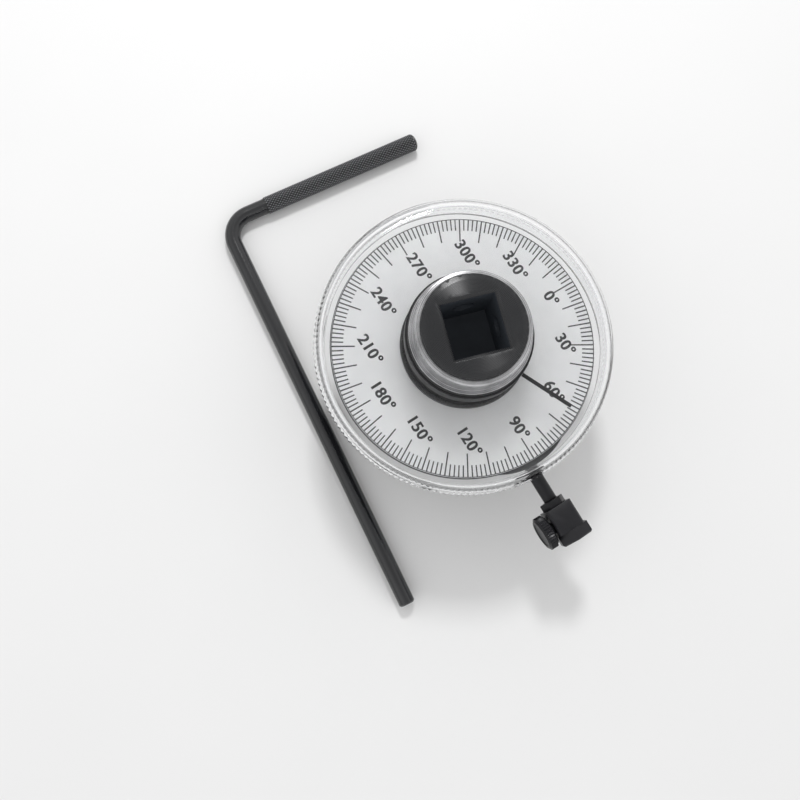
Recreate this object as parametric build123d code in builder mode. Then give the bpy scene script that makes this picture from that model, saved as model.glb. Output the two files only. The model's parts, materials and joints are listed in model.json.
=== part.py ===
from build123d import *
from math import cos, radians, sin, sqrt
import os

# Torque angle gauge for a half-inch square drive. Lengths in millimetres, angles in degrees.
# +Z runs up the drive axis, from the tip of the male square to the mouth of the square socket.
# +Y points to the dial's 0 mark and +X to its 90 mark, where the arm with the rod clamp stands.

# Square drive
DRIVE_WIDTH = 12.7
DRIVE_LENGTH = 15.5
DRIVE_EDGE_RADIUS = 1.0
DRIVE_TIP_CHAMFER = 1.0
DRIVE_TURN = -16.4
SOCKET_CLEARANCE = 0.06
SOCKET_DEPTH = 16.0
SOCKET_LEAD = 0.9
SOCKET_RECESS_DROP = 8.0
SOCKET_RECESS_RADIUS = 2.6
SOCKET_RECESS_DEPTH = 0.9

# Spindle
DIAL_HEIGHT = 28.0
JOURNAL_RADIUS = 12.5
JOURNAL_CHAMFER = 0.4
FLANGE_WIDTH = 2.9
FLANGE_THICKNESS = 1.2
FLANGE_GAP = 0.3
HUB_RADIUS = 12.2
HUB_RISE = 20.7
HUB_CROWN = 0.3
HUB_FACE_RADIUS = 10.5
HUB_SLOPE_DROP = 0.5
HUB_EDGE = 0.3

# Detent in the male square
BALL_RADIUS = 2.1
BALL_CLEARANCE = 0.08
BALL_STANDOUT = 0.8
BALL_HEIGHT = 7.9
BALL_HOLE_DEPTH = 6.2
DETENT_WIRE_RADIUS = 0.25
DETENT_COIL_RADIUS = 1.5
DETENT_PITCH = 1.0
DETENT_SEAT_GAP = 0.05

# Bearing of the base on the spindle
GROOVE_RISE = 0.8
RING_BITE = 0.6
RING_GAP = 0.05
RING_THICKNESS = 1.2
RING_STANDOUT = 2.7
RING_OPENING = 6.0
RING_LUG_RADIUS = 1.7
RING_LUG_HOLE_RADIUS = 0.8
AXIAL_GAP = 0.1
RUNNING_GAP = 0.05
LOWER_WASHER_WIDTH = 3.85
LOWER_WASHER_THICKNESS = 0.6
UPPER_WASHER_WIDTH = 1.45
UPPER_WASHER_THICKNESS = 0.6
BUSH_WALL = 2.0
BUSH_CHAMFER = 0.3

# Base and dial
DIAL_RADIUS = 31.9
DIAL_THICKNESS = 0.8
DIAL_BORE_GAP = 0.05
BASE_MARGIN = 0.3
BASE_THICKNESS = 2.4
BASE_EDGE = 0.3
BASE_LOBE_RADIUS = 15.7
BASE_LOBE_GAP = 0.3
COLLAR_WALL = 7.45
COLLAR_SKIRT = 1.35
COLLAR_EDGE = 1.0
COLLAR_POCKET_GAP = 0.8
SCREW_COUNT = 3
SCREW_BUSH_DISTANCE = 3.75
SCREW_FIRST_ANGLE = 60.0
SCREW_RADIUS = 1.25
SCREW_HEAD_RADIUS = 2.5
SCREW_LENGTH = 6.0
SCREW_SLOT_WIDTH = 0.7
SCREW_SLOT_DEPTH = 0.6
THREAD_GAP = 0.02

# Arm and rod clamp
ARM_DROP = 8.0
NECK_RADIUS = 1.7
NECK_GRIP = 1.7
NECK_POCKET_WALL = 0.2
NUT_WIDTH = 5.5
NUT_THICKNESS = 1.8
ARM_REACH = 8.7
BLOCK_LENGTH = 6.6
BLOCK_WIDTH = 6.8
BLOCK_HEIGHT = 8.0
BLOCK_EDGE = 0.5
END_HEAD_WIDTH = 8.0
END_HEAD_LENGTH = 2.9
END_HEAD_TURN = 37.0
END_HEAD_CHAMFER = 0.4
ROD_HOLE_CLEARANCE = 0.2
ROD_HOLE_OFFSET = 0.6
ROD_HOLE_WALL = 1.9
ROD_HOLE_ROOF = 1.4
KNOB_RADIUS = 4.3
KNOB_THICKNESS = 2.6
KNOB_GAP = 0.6
KNOB_EDGE = 0.4
KNOB_RIDGE_COUNT = 30
KNOB_RIDGE_HEIGHT = 0.25
SHANK_RADIUS = 1.5
PAD_RADIUS = 1.2
PAD_THICKNESS = 0.5
PAD_STEM_RADIUS = 0.6
PAD_STEM_LENGTH = 0.8
PAD_GAP = 0.03
PAD_SETBACK = 0.1

# Clear cover with its pointer
COVER_GAP = 1.8
COVER_WALL = 1.6
COVER_RISE = 7.6
COVER_PLATE = 1.5
COVER_SKIRT = 2.7
COVER_SHOULDER_RADIUS = 4.0
KNURL_START = 1.0
KNURL_HEIGHT = 4.0
KNURL_TOOTH_HEIGHT = 0.45
KNURL_COUNT = 160
BOSS_WALL = 1.55
BOSS_SPIGOT_WALL = 0.8
BOSS_SEAT_GAP = 0.02
BOSS_RISE = 12.0
BOSS_EDGE_RADIUS = 0.4
POINTER_ANGLE = 25.7
POINTER_BOSS_GAP = 0.2
POINTER_EDGE_DISTANCE = 3.2
POINTER_WIDTH = 0.9
POINTER_DEPTH = 0.3

# Bright collar and the pieces that hold the cover
SLEEVE_WALL = 1.2
SLEEVE_TOP_DROP = 2.0
SLEEVE_EDGE = 0.4
SLEEVE_LIP_WIDTH = 0.9
SLEEVE_LIP_THICKNESS = 0.9
COVER_WASHER_WIDTH = 1.05
COVER_WASHER_THICKNESS = 0.4
FRICTION_RING_WIDTH = 1.0
FRICTION_RING_EDGE = 0.3

# Stop rod, lying beside the gauge on what the gauge stands on
ROD_RADIUS = 2.1
ROD_KNURL_RADIUS = 2.4
ROD_BEND_RADIUS = 6.5
ROD_LONG_LEG = 111.5
ROD_SHORT_LEG = 57.0
ROD_KNURL_LENGTH = 43.0
ROD_END_CHAMFER = 0.4
ROD_CORNER_X = -64.4
ROD_CORNER_Y = -31.8
ROD_TURN = -5.2

# Heights that follow
HUB_TOP = DIAL_HEIGHT + HUB_RISE
JOURNAL_TOP = DIAL_HEIGHT + FLANGE_GAP
FLANGE_TOP = JOURNAL_TOP + FLANGE_THICKNESS
GROOVE_BOTTOM = DRIVE_LENGTH + GROOVE_RISE
RING_BOTTOM = GROOVE_BOTTOM + RING_GAP
RING_TOP = RING_BOTTOM + RING_THICKNESS
GROOVE_TOP = RING_TOP + RING_GAP
LOWER_WASHER_BOTTOM = RING_TOP + AXIAL_GAP
BUSH_BOTTOM = LOWER_WASHER_BOTTOM + LOWER_WASHER_THICKNESS + AXIAL_GAP
UPPER_WASHER_BOTTOM = JOURNAL_TOP - AXIAL_GAP - UPPER_WASHER_THICKNESS
BUSH_TOP = UPPER_WASHER_BOTTOM - AXIAL_GAP
DIAL_BOTTOM = DIAL_HEIGHT - DIAL_THICKNESS
BASE_BOTTOM = DIAL_BOTTOM - BASE_THICKNESS
COLLAR_BOTTOM = BUSH_BOTTOM - COLLAR_SKIRT
ARM_HEIGHT = DIAL_HEIGHT - ARM_DROP
COVER_TOP = DIAL_HEIGHT + COVER_RISE
COVER_UNDERSIDE = COVER_TOP - COVER_PLATE
COVER_BOTTOM = DIAL_HEIGHT - COVER_SKIRT
BOSS_TOP = DIAL_HEIGHT + BOSS_RISE
BOSS_SEAT = COVER_TOP + BOSS_SEAT_GAP
COVER_WASHER_BOTTOM = BOSS_TOP + AXIAL_GAP
LIP_BOTTOM = COVER_WASHER_BOTTOM + COVER_WASHER_THICKNESS + AXIAL_GAP
LIP_TOP = LIP_BOTTOM + SLEEVE_LIP_THICKNESS
SLEEVE_TOP = HUB_TOP - SLEEVE_TOP_DROP
FRICTION_RING_TOP = COVER_UNDERSIDE - AXIAL_GAP
ROD_HEIGHT = ROD_KNURL_RADIUS

# Radii and places that follow, from the drive axis outwards
SOCKET_WIDTH = DRIVE_WIDTH + 2 * SOCKET_CLEARANCE
BALL_CENTRE = DRIVE_WIDTH / 2 + BALL_STANDOUT - BALL_RADIUS
BALL_HOLE_END = DRIVE_WIDTH / 2 - BALL_HOLE_DEPTH
COIL_START = BALL_HOLE_END + DETENT_WIRE_RADIUS + DETENT_SEAT_GAP
COIL_SEAT = sqrt((BALL_RADIUS + DETENT_WIRE_RADIUS) ** 2 - DETENT_COIL_RADIUS**2)
COIL_LENGTH = BALL_CENTRE - COIL_SEAT - DETENT_SEAT_GAP - COIL_START
GROOVE_RADIUS = JOURNAL_RADIUS - RING_BITE
RING_RADIUS = JOURNAL_RADIUS + RING_STANDOUT
BUSH_BORE_RADIUS = JOURNAL_RADIUS + RUNNING_GAP
BUSH_RADIUS = BUSH_BORE_RADIUS + BUSH_WALL
FLANGE_RADIUS = JOURNAL_RADIUS + FLANGE_WIDTH
LOWER_WASHER_RADIUS = BUSH_BORE_RADIUS + LOWER_WASHER_WIDTH
UPPER_WASHER_RADIUS = BUSH_BORE_RADIUS + UPPER_WASHER_WIDTH
COLLAR_POCKET_RADIUS = LOWER_WASHER_RADIUS + COLLAR_POCKET_GAP
SCREW_PITCH_RADIUS = BUSH_RADIUS + SCREW_BUSH_DISTANCE
COLLAR_RADIUS = BUSH_RADIUS + COLLAR_WALL
NECK_START = COLLAR_POCKET_RADIUS + NECK_POCKET_WALL
SLEEVE_RADIUS = HUB_RADIUS + SLEEVE_WALL
SLEEVE_LIP_RADIUS = SLEEVE_RADIUS + SLEEVE_LIP_WIDTH
BOSS_BORE_RADIUS = SLEEVE_RADIUS + RUNNING_GAP
COVER_WASHER_RADIUS = BOSS_BORE_RADIUS + COVER_WASHER_WIDTH
FRICTION_RING_RADIUS = SLEEVE_RADIUS + FRICTION_RING_WIDTH
BOSS_RADIUS = BOSS_BORE_RADIUS + BOSS_WALL
BOSS_SPIGOT_RADIUS = BOSS_BORE_RADIUS + BOSS_SPIGOT_WALL
COVER_HOLE_RADIUS = BOSS_SPIGOT_RADIUS + BOSS_SEAT_GAP
BASE_RADIUS = DIAL_RADIUS + BASE_MARGIN
COVER_INNER_RADIUS = BASE_RADIUS + COVER_GAP
COVER_RADIUS = COVER_INNER_RADIUS + COVER_WALL
BASE_LOBE_X = COVER_INNER_RADIUS - BASE_LOBE_GAP - BASE_LOBE_RADIUS
KNURL_SIDE = KNURL_TOOTH_HEIGHT * sqrt(2)
POINTER_START = BOSS_RADIUS + POINTER_BOSS_GAP
POINTER_END = DIAL_RADIUS - POINTER_EDGE_DISTANCE
BLOCK_START = COVER_RADIUS + ARM_REACH
BLOCK_END = BLOCK_START + BLOCK_LENGTH
ROD_HOLE_RADIUS = ROD_RADIUS + ROD_HOLE_CLEARANCE
ROD_HOLE_X = BLOCK_START + ROD_HOLE_WALL + ROD_HOLE_RADIUS
KNOB_FACE_DISTANCE = BLOCK_WIDTH / 2 + KNOB_GAP
HOLE_NEAR_DISTANCE = ROD_HOLE_RADIUS - ROD_HOLE_OFFSET
PAD_FRONT_DISTANCE = HOLE_NEAR_DISTANCE + PAD_SETBACK
PAD_BACK_DISTANCE = PAD_FRONT_DISTANCE + PAD_THICKNESS
SHANK_END_DISTANCE = PAD_BACK_DISTANCE + PAD_GAP
SAME_RADIUS = 0.001


def drive_side(turn, height):
    """Plane on the drive axis that faces one flat of the squares."""
    outward = (cos(radians(turn)), sin(radians(turn)), 0)
    along = (-sin(radians(turn)), cos(radians(turn)), 0)
    return Plane(origin=(0, 0, height), x_dir=along, z_dir=outward)


def flat_ring(bottom, thickness, inner_radius, outer_radius):
    """Plain washer about the drive axis."""
    with BuildPart() as ring:
        with BuildSketch(Plane.XY.offset(bottom)):
            Circle(outer_radius)
            Circle(inner_radius, mode=Mode.SUBTRACT)
        extrude(amount=thickness)
    return ring


def circles_of(builder, radius):
    """Circular edges of one radius, lowest first."""
    return (
        builder.edges()
        .filter_by(GeomType.CIRCLE)
        .filter_by(lambda edge: abs(edge.radius - radius) < SAME_RADIUS)
        .sort_by(Axis.Z)
    )


os.makedirs("parts", exist_ok=True)

# Drive spindle: turned body and hub, the male square below and the square socket above
with BuildPart() as drive_spindle:
    with BuildSketch(Plane.XZ):
        with BuildLine():
            Polyline(
                (0, HUB_TOP),
                (0, DRIVE_LENGTH),
                (JOURNAL_RADIUS, DRIVE_LENGTH),
                (JOURNAL_RADIUS, GROOVE_BOTTOM),
                (GROOVE_RADIUS, GROOVE_BOTTOM),
                (GROOVE_RADIUS, GROOVE_TOP),
                (JOURNAL_RADIUS, GROOVE_TOP),
                (JOURNAL_RADIUS, JOURNAL_TOP),
                (FLANGE_RADIUS, JOURNAL_TOP),
                (FLANGE_RADIUS, FLANGE_TOP),
                (SLEEVE_RADIUS, FLANGE_TOP),
                (SLEEVE_RADIUS, LIP_BOTTOM),
                (HUB_RADIUS, LIP_BOTTOM),
                (HUB_RADIUS, HUB_TOP - HUB_CROWN - HUB_SLOPE_DROP),
                (HUB_FACE_RADIUS, HUB_TOP - HUB_CROWN),
            )
            ThreePointArc(
                (HUB_FACE_RADIUS, HUB_TOP - HUB_CROWN),
                (HUB_FACE_RADIUS / 2, HUB_TOP - HUB_CROWN / 4),
                (0, HUB_TOP),
            )
        make_face()
    revolve(axis=Axis.Z)
    chamfer(circles_of(drive_spindle, HUB_RADIUS)[-1], HUB_EDGE)
    chamfer(circles_of(drive_spindle, JOURNAL_RADIUS)[0], JOURNAL_CHAMFER)
    with BuildSketch(Plane.XY):
        Rectangle(DRIVE_WIDTH, DRIVE_WIDTH, rotation=DRIVE_TURN)
        fillet(vertices(), DRIVE_EDGE_RADIUS)
    extrude(amount=DRIVE_LENGTH)
    chamfer(edges().group_by(Axis.Z)[0], DRIVE_TIP_CHAMFER)
    with BuildSketch(Plane.XY.offset(HUB_TOP)):
        Rectangle(SOCKET_WIDTH, SOCKET_WIDTH, rotation=DRIVE_TURN)
    extrude(amount=-SOCKET_DEPTH, mode=Mode.SUBTRACT)
    with BuildSketch(Plane.XY.offset(HUB_TOP)):
        Rectangle(SOCKET_WIDTH + 2 * SOCKET_LEAD, SOCKET_WIDTH + 2 * SOCKET_LEAD, rotation=DRIVE_TURN)
    extrude(amount=-SOCKET_LEAD, taper=45, mode=Mode.SUBTRACT)
    for quarter in (0, 90):
        with BuildSketch(drive_side(DRIVE_TURN + quarter, HUB_TOP - SOCKET_RECESS_DROP)):
            Circle(SOCKET_RECESS_RADIUS)
        extrude(amount=SOCKET_WIDTH / 2 + SOCKET_RECESS_DEPTH, both=True, mode=Mode.SUBTRACT)
    with BuildSketch(drive_side(DRIVE_TURN, BALL_HEIGHT).offset(BALL_HOLE_END)):
        Circle(BALL_RADIUS + BALL_CLEARANCE)
    extrude(amount=BALL_HOLE_DEPTH, mode=Mode.SUBTRACT)
drive_spindle.part.label = "drive_spindle"
export_step(drive_spindle.part, "parts/drive_spindle.step")

# Detent ball and the spring behind it
with BuildPart(drive_side(DRIVE_TURN, BALL_HEIGHT).offset(BALL_CENTRE)) as detent_ball:
    Sphere(BALL_RADIUS)
detent_ball.part.label = "detent_ball"
export_step(detent_ball.part, "parts/detent_ball.step")

coil_plane = drive_side(DRIVE_TURN, BALL_HEIGHT).offset(COIL_START)
with BuildPart() as detent_spring:
    with BuildLine() as coil:
        Helix(
            DETENT_PITCH,
            COIL_LENGTH,
            DETENT_COIL_RADIUS,
            center=coil_plane.origin,
            direction=coil_plane.z_dir,
        )
    with BuildSketch(Plane(origin=coil.line @ 0, z_dir=coil.line % 0)):
        Circle(DETENT_WIRE_RADIUS)
    sweep()
detent_spring.part.label = "detent_spring"
export_step(detent_spring.part, "parts/detent_spring.step")

# Retaining ring in the spindle's groove, with an eye on each side of its opening
with BuildPart() as retaining_ring:
    with BuildSketch(Plane.XY.offset(RING_BOTTOM)):
        Circle(RING_RADIUS)
        lug_row = RING_RADIUS - RING_LUG_RADIUS / 2
        lug_side = RING_OPENING / 2 + RING_LUG_RADIUS / 2
        with Locations((-lug_row, lug_side), (-lug_row, -lug_side)):
            Circle(RING_LUG_RADIUS)
        with Locations((-RING_RADIUS, 0)):
            Rectangle(2 * (RING_RADIUS - GROOVE_RADIUS + RING_GAP), RING_OPENING, mode=Mode.SUBTRACT)
        with Locations((-lug_row, lug_side), (-lug_row, -lug_side)):
            Circle(RING_LUG_HOLE_RADIUS, mode=Mode.SUBTRACT)
        Circle(GROOVE_RADIUS + RING_GAP, mode=Mode.SUBTRACT)
    extrude(amount=RING_THICKNESS)
retaining_ring.part.label = "retaining_ring"
export_step(retaining_ring.part, "parts/retaining_ring.step")

# Washers below and above the bush
lower_washer = flat_ring(
    LOWER_WASHER_BOTTOM, LOWER_WASHER_THICKNESS, BUSH_BORE_RADIUS, LOWER_WASHER_RADIUS
)
lower_washer.part.label = "lower_washer"
export_step(lower_washer.part, "parts/lower_washer.step")

upper_washer = flat_ring(
    UPPER_WASHER_BOTTOM, UPPER_WASHER_THICKNESS, BUSH_BORE_RADIUS, UPPER_WASHER_RADIUS
)
upper_washer.part.label = "upper_washer"
export_step(upper_washer.part, "parts/upper_washer.step")

# Bronze bush pressed into the base, running on the spindle's journal
with BuildPart() as base_bush:
    with BuildSketch(Plane.XY.offset(BUSH_BOTTOM)):
        Circle(BUSH_RADIUS)
        Circle(BUSH_BORE_RADIUS, mode=Mode.SUBTRACT)
    extrude(amount=BUSH_TOP - BUSH_BOTTOM)
    chamfer(circles_of(base_bush, BUSH_BORE_RADIUS), BUSH_CHAMFER)
base_bush.part.label = "base_bush"
export_step(base_bush.part, "parts/base_bush.step")

# Base disc under the dial: a lobe stands out over the arm, and countersunk holes take the screws
with BuildPart() as dial_base:
    with BuildSketch(Plane.XY.offset(BASE_BOTTOM)):
        Circle(BASE_RADIUS)
        with Locations((BASE_LOBE_X, 0)):
            Circle(BASE_LOBE_RADIUS)
        Circle(BUSH_RADIUS, mode=Mode.SUBTRACT)
    extrude(amount=BASE_THICKNESS)
    chamfer(circles_of(dial_base, BASE_RADIUS), BASE_EDGE)
    chamfer(circles_of(dial_base, BASE_LOBE_RADIUS), BASE_EDGE)
    with Locations(Plane.XY.offset(DIAL_BOTTOM)):
        with PolarLocations(SCREW_PITCH_RADIUS, SCREW_COUNT, start_angle=SCREW_FIRST_ANGLE):
            CounterSinkHole(SCREW_RADIUS + THREAD_GAP, SCREW_HEAD_RADIUS + THREAD_GAP, BASE_THICKNESS)
dial_base.part.label = "dial_base"
export_step(dial_base.part, "parts/dial_base.step")

# Arm collar under the base disc: it holds the bush, the collar screws and the arm's neck
with BuildPart() as arm_collar:
    with BuildSketch(Plane.XY.offset(COLLAR_BOTTOM)):
        Circle(COLLAR_RADIUS)
        Circle(BUSH_RADIUS, mode=Mode.SUBTRACT)
    extrude(amount=BASE_BOTTOM - COLLAR_BOTTOM)
    chamfer(circles_of(arm_collar, COLLAR_RADIUS)[0], COLLAR_EDGE)
    with BuildSketch(Plane.XY.offset(COLLAR_BOTTOM)):
        Circle(COLLAR_POCKET_RADIUS)
    extrude(amount=COLLAR_SKIRT, mode=Mode.SUBTRACT)
    with Locations(Plane.XY.offset(BASE_BOTTOM)):
        with PolarLocations(SCREW_PITCH_RADIUS, SCREW_COUNT, start_angle=SCREW_FIRST_ANGLE):
            Hole(SCREW_RADIUS + THREAD_GAP, depth=SCREW_LENGTH - BASE_THICKNESS + THREAD_GAP)
    with BuildSketch(Plane.YZ.offset(NECK_START)):
        with Locations((0, ARM_HEIGHT)):
            Circle(NECK_RADIUS + THREAD_GAP)
    extrude(amount=COLLAR_RADIUS - NECK_START, mode=Mode.SUBTRACT)
arm_collar.part.label = "arm_collar"
export_step(arm_collar.part, "parts/arm_collar.step")

# Countersunk screws that fix the base disc to the collar, hidden by the dial
with BuildPart() as collar_screws:
    with PolarLocations(SCREW_PITCH_RADIUS, SCREW_COUNT, start_angle=SCREW_FIRST_ANGLE):
        with Locations((0, 0, DIAL_BOTTOM - SCREW_LENGTH)):
            Cylinder(SCREW_RADIUS, SCREW_LENGTH, align=(Align.CENTER, Align.CENTER, Align.MIN))
        with Locations((0, 0, DIAL_BOTTOM - (SCREW_HEAD_RADIUS - SCREW_RADIUS))):
            Cone(
                SCREW_RADIUS,
                SCREW_HEAD_RADIUS,
                SCREW_HEAD_RADIUS - SCREW_RADIUS,
                align=(Align.CENTER, Align.CENTER, Align.MIN),
            )
        with Locations((0, 0, DIAL_BOTTOM)):
            Box(
                2 * SCREW_HEAD_RADIUS,
                SCREW_SLOT_WIDTH,
                2 * SCREW_SLOT_DEPTH,
                mode=Mode.SUBTRACT,
            )
collar_screws.part.label = "collar_screws"
export_step(collar_screws.part, "parts/collar_screws.step")

# Dial plate that carries the printed scale
dial_plate = flat_ring(DIAL_BOTTOM, DIAL_THICKNESS, BUSH_RADIUS + DIAL_BORE_GAP, DIAL_RADIUS)
dial_plate.part.label = "dial_plate"
export_step(dial_plate.part, "parts/dial_plate.step")

# Neck of the arm, screwed into the collar and into the clamp block
with BuildPart() as arm_neck:
    with BuildSketch(Plane.YZ.offset(NECK_START)):
        with Locations((0, ARM_HEIGHT)):
            Circle(NECK_RADIUS)
    extrude(amount=BLOCK_START + NECK_GRIP - NECK_START)
arm_neck.part.label = "arm_neck"
export_step(arm_neck.part, "parts/arm_neck.step")

# Thin nut that locks the neck against the clamp block
with BuildPart() as neck_nut:
    with BuildSketch(Plane.YZ.offset(BLOCK_START - NUT_THICKNESS)):
        with Locations((0, ARM_HEIGHT)):
            RegularPolygon(NUT_WIDTH / 2, 6, major_radius=False)
            Circle(NECK_RADIUS + THREAD_GAP, mode=Mode.SUBTRACT)
    extrude(amount=NUT_THICKNESS)
neck_nut.part.label = "neck_nut"
export_step(neck_nut.part, "parts/neck_nut.step")

# Clamp block: the rod enters its hole from below, and its outer end is a hexagon head
with BuildPart() as clamp_block:
    with BuildSketch(Plane.XY.offset(ARM_HEIGHT - BLOCK_HEIGHT / 2)):
        with Locations((BLOCK_START + BLOCK_LENGTH / 2, 0)):
            Rectangle(BLOCK_LENGTH, BLOCK_WIDTH)
    extrude(amount=BLOCK_HEIGHT)
    chamfer(edges().filter_by(Axis.X), BLOCK_EDGE)
    with BuildSketch(Plane.YZ.offset(BLOCK_END)):
        with Locations((ROD_HOLE_OFFSET, ARM_HEIGHT)):
            RegularPolygon(END_HEAD_WIDTH / 2, 6, major_radius=False, rotation=END_HEAD_TURN)
    extrude(amount=END_HEAD_LENGTH)
    chamfer(edges().group_by(Axis.X)[-1], END_HEAD_CHAMFER)
    with BuildSketch(Plane.XY.offset(ARM_HEIGHT - BLOCK_HEIGHT / 2)):
        with Locations((ROD_HOLE_X, ROD_HOLE_OFFSET)):
            Circle(ROD_HOLE_RADIUS)
    extrude(amount=BLOCK_HEIGHT - ROD_HOLE_ROOF, mode=Mode.SUBTRACT)
    with BuildSketch(Plane.YZ.offset(BLOCK_START)):
        with Locations((0, ARM_HEIGHT)):
            Circle(NECK_RADIUS + THREAD_GAP)
    extrude(amount=NECK_GRIP + THREAD_GAP, mode=Mode.SUBTRACT)
    with BuildSketch(Plane.XZ.offset(BLOCK_WIDTH / 2)):
        with Locations((ROD_HOLE_X, ARM_HEIGHT)):
            Circle(SHANK_RADIUS + THREAD_GAP)
    extrude(amount=-BLOCK_WIDTH / 2, mode=Mode.SUBTRACT)
clamp_block.part.label = "clamp_block"
export_step(clamp_block.part, "parts/clamp_block.step")

# Thumb screw with a ridged knob; its tip is drilled for the pressure pad's stem
with BuildPart() as thumb_screw:
    with BuildSketch(Plane.XZ.offset(KNOB_FACE_DISTANCE)):
        with Locations((ROD_HOLE_X, ARM_HEIGHT)):
            Circle(KNOB_RADIUS - KNOB_RIDGE_HEIGHT)
    extrude(amount=KNOB_THICKNESS)
    chamfer(edges(), KNOB_EDGE)
    with BuildSketch(Plane.XZ.offset(KNOB_FACE_DISTANCE + KNOB_EDGE)):
        with Locations((ROD_HOLE_X, ARM_HEIGHT)):
            Circle(KNOB_RADIUS - KNOB_RIDGE_HEIGHT)
            with PolarLocations(KNOB_RADIUS - KNOB_RIDGE_HEIGHT, KNOB_RIDGE_COUNT):
                Rectangle(2 * KNOB_RIDGE_HEIGHT, 2 * KNOB_RIDGE_HEIGHT)
    extrude(amount=KNOB_THICKNESS - 2 * KNOB_EDGE)
    with BuildSketch(Plane.XZ.offset(SHANK_END_DISTANCE)):
        with Locations((ROD_HOLE_X, ARM_HEIGHT)):
            Circle(SHANK_RADIUS)
    extrude(amount=KNOB_FACE_DISTANCE - SHANK_END_DISTANCE)
    with BuildSketch(Plane.XZ.offset(SHANK_END_DISTANCE)):
        with Locations((ROD_HOLE_X, ARM_HEIGHT)):
            Circle(PAD_STEM_RADIUS + PAD_GAP)
    extrude(amount=PAD_STEM_LENGTH, mode=Mode.SUBTRACT)
thumb_screw.part.label = "thumb_screw"
export_step(thumb_screw.part, "parts/thumb_screw.step")

# Brass pad that stays still on the rod while the screw turns behind it
with BuildPart() as pressure_pad:
    with BuildSketch(Plane.XZ.offset(PAD_FRONT_DISTANCE)):
        with Locations((ROD_HOLE_X, ARM_HEIGHT)):
            Circle(PAD_RADIUS)
    extrude(amount=PAD_THICKNESS)
    with BuildSketch(Plane.XZ.offset(PAD_BACK_DISTANCE)):
        with Locations((ROD_HOLE_X, ARM_HEIGHT)):
            Circle(PAD_STEM_RADIUS)
    extrude(amount=PAD_STEM_LENGTH)
pressure_pad.part.label = "pressure_pad"
export_step(pressure_pad.part, "parts/pressure_pad.step")

# Rubber ring that grips the cover's underside
with BuildPart() as friction_ring:
    with BuildSketch(Plane.XY.offset(FLANGE_TOP)):
        Circle(FRICTION_RING_RADIUS)
        Circle(SLEEVE_RADIUS, mode=Mode.SUBTRACT)
    extrude(amount=FRICTION_RING_TOP - FLANGE_TOP)
    chamfer(circles_of(friction_ring, FRICTION_RING_RADIUS), FRICTION_RING_EDGE)
friction_ring.part.label = "friction_ring"
export_step(friction_ring.part, "parts/friction_ring.step")

# Clear cover: a shallow cup with a hole for its boss and a fine knurl just above its lower edge
with BuildPart() as clear_cover:
    with BuildSketch(Plane.XZ):
        with BuildLine():
            Polyline(
                (COVER_HOLE_RADIUS, COVER_UNDERSIDE),
                (COVER_HOLE_RADIUS, COVER_TOP),
                (COVER_RADIUS, COVER_TOP),
                (COVER_RADIUS, COVER_BOTTOM),
                (COVER_INNER_RADIUS, COVER_BOTTOM),
                (COVER_INNER_RADIUS, COVER_UNDERSIDE),
                close=True,
            )
        make_face()
    revolve(axis=Axis.Z)
    fillet(circles_of(clear_cover, COVER_RADIUS)[-1], COVER_SHOULDER_RADIUS)
    fillet(circles_of(clear_cover, COVER_INNER_RADIUS)[-1], COVER_SHOULDER_RADIUS - COVER_PLATE)
    with BuildSketch(Plane.XY.offset(COVER_BOTTOM + KNURL_START)):
        Circle(COVER_RADIUS)
        with PolarLocations(COVER_RADIUS, KNURL_COUNT):
            Rectangle(KNURL_SIDE, KNURL_SIDE, rotation=45)
        Circle(COVER_INNER_RADIUS, mode=Mode.SUBTRACT)
    extrude(amount=KNURL_HEIGHT)
    with BuildSketch(Plane.XY.offset(COVER_TOP)) as pointer_groove:
        with PolarLocations((POINTER_START + POINTER_END) / 2, 1, start_angle=POINTER_ANGLE):
            Rectangle(POINTER_END - POINTER_START, POINTER_WIDTH)
    extrude(amount=-POINTER_DEPTH, mode=Mode.SUBTRACT)
clear_cover.part.label = "clear_cover"
export_step(clear_cover.part, "parts/clear_cover.step")

# Pointer line laid into the cover's top
with BuildPart() as pointer_line:
    add(pointer_groove.sketch)
    extrude(amount=-POINTER_DEPTH)
pointer_line.part.label = "pointer_line"
export_step(pointer_line.part, "parts/pointer_line.step")

# Black boss fixed in the cover's hole, with which the cover turns on the spindle
with BuildPart() as cover_boss:
    with BuildSketch(Plane.XZ):
        with BuildLine():
            Polyline(
                (BOSS_BORE_RADIUS, COVER_UNDERSIDE),
                (BOSS_BORE_RADIUS, BOSS_TOP),
                (BOSS_RADIUS, BOSS_TOP),
                (BOSS_RADIUS, BOSS_SEAT),
                (BOSS_SPIGOT_RADIUS, BOSS_SEAT),
                (BOSS_SPIGOT_RADIUS, COVER_UNDERSIDE),
                close=True,
            )
        make_face()
    revolve(axis=Axis.Z)
    fillet(circles_of(cover_boss, BOSS_RADIUS)[-1], BOSS_EDGE_RADIUS)
cover_boss.part.label = "cover_boss"
export_step(cover_boss.part, "parts/cover_boss.step")

# Washer on the cover's boss, and the bright collar whose lip keeps both down
cover_washer = flat_ring(
    COVER_WASHER_BOTTOM, COVER_WASHER_THICKNESS, BOSS_BORE_RADIUS, COVER_WASHER_RADIUS
)
cover_washer.part.label = "cover_washer"
export_step(cover_washer.part, "parts/cover_washer.step")

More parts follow.
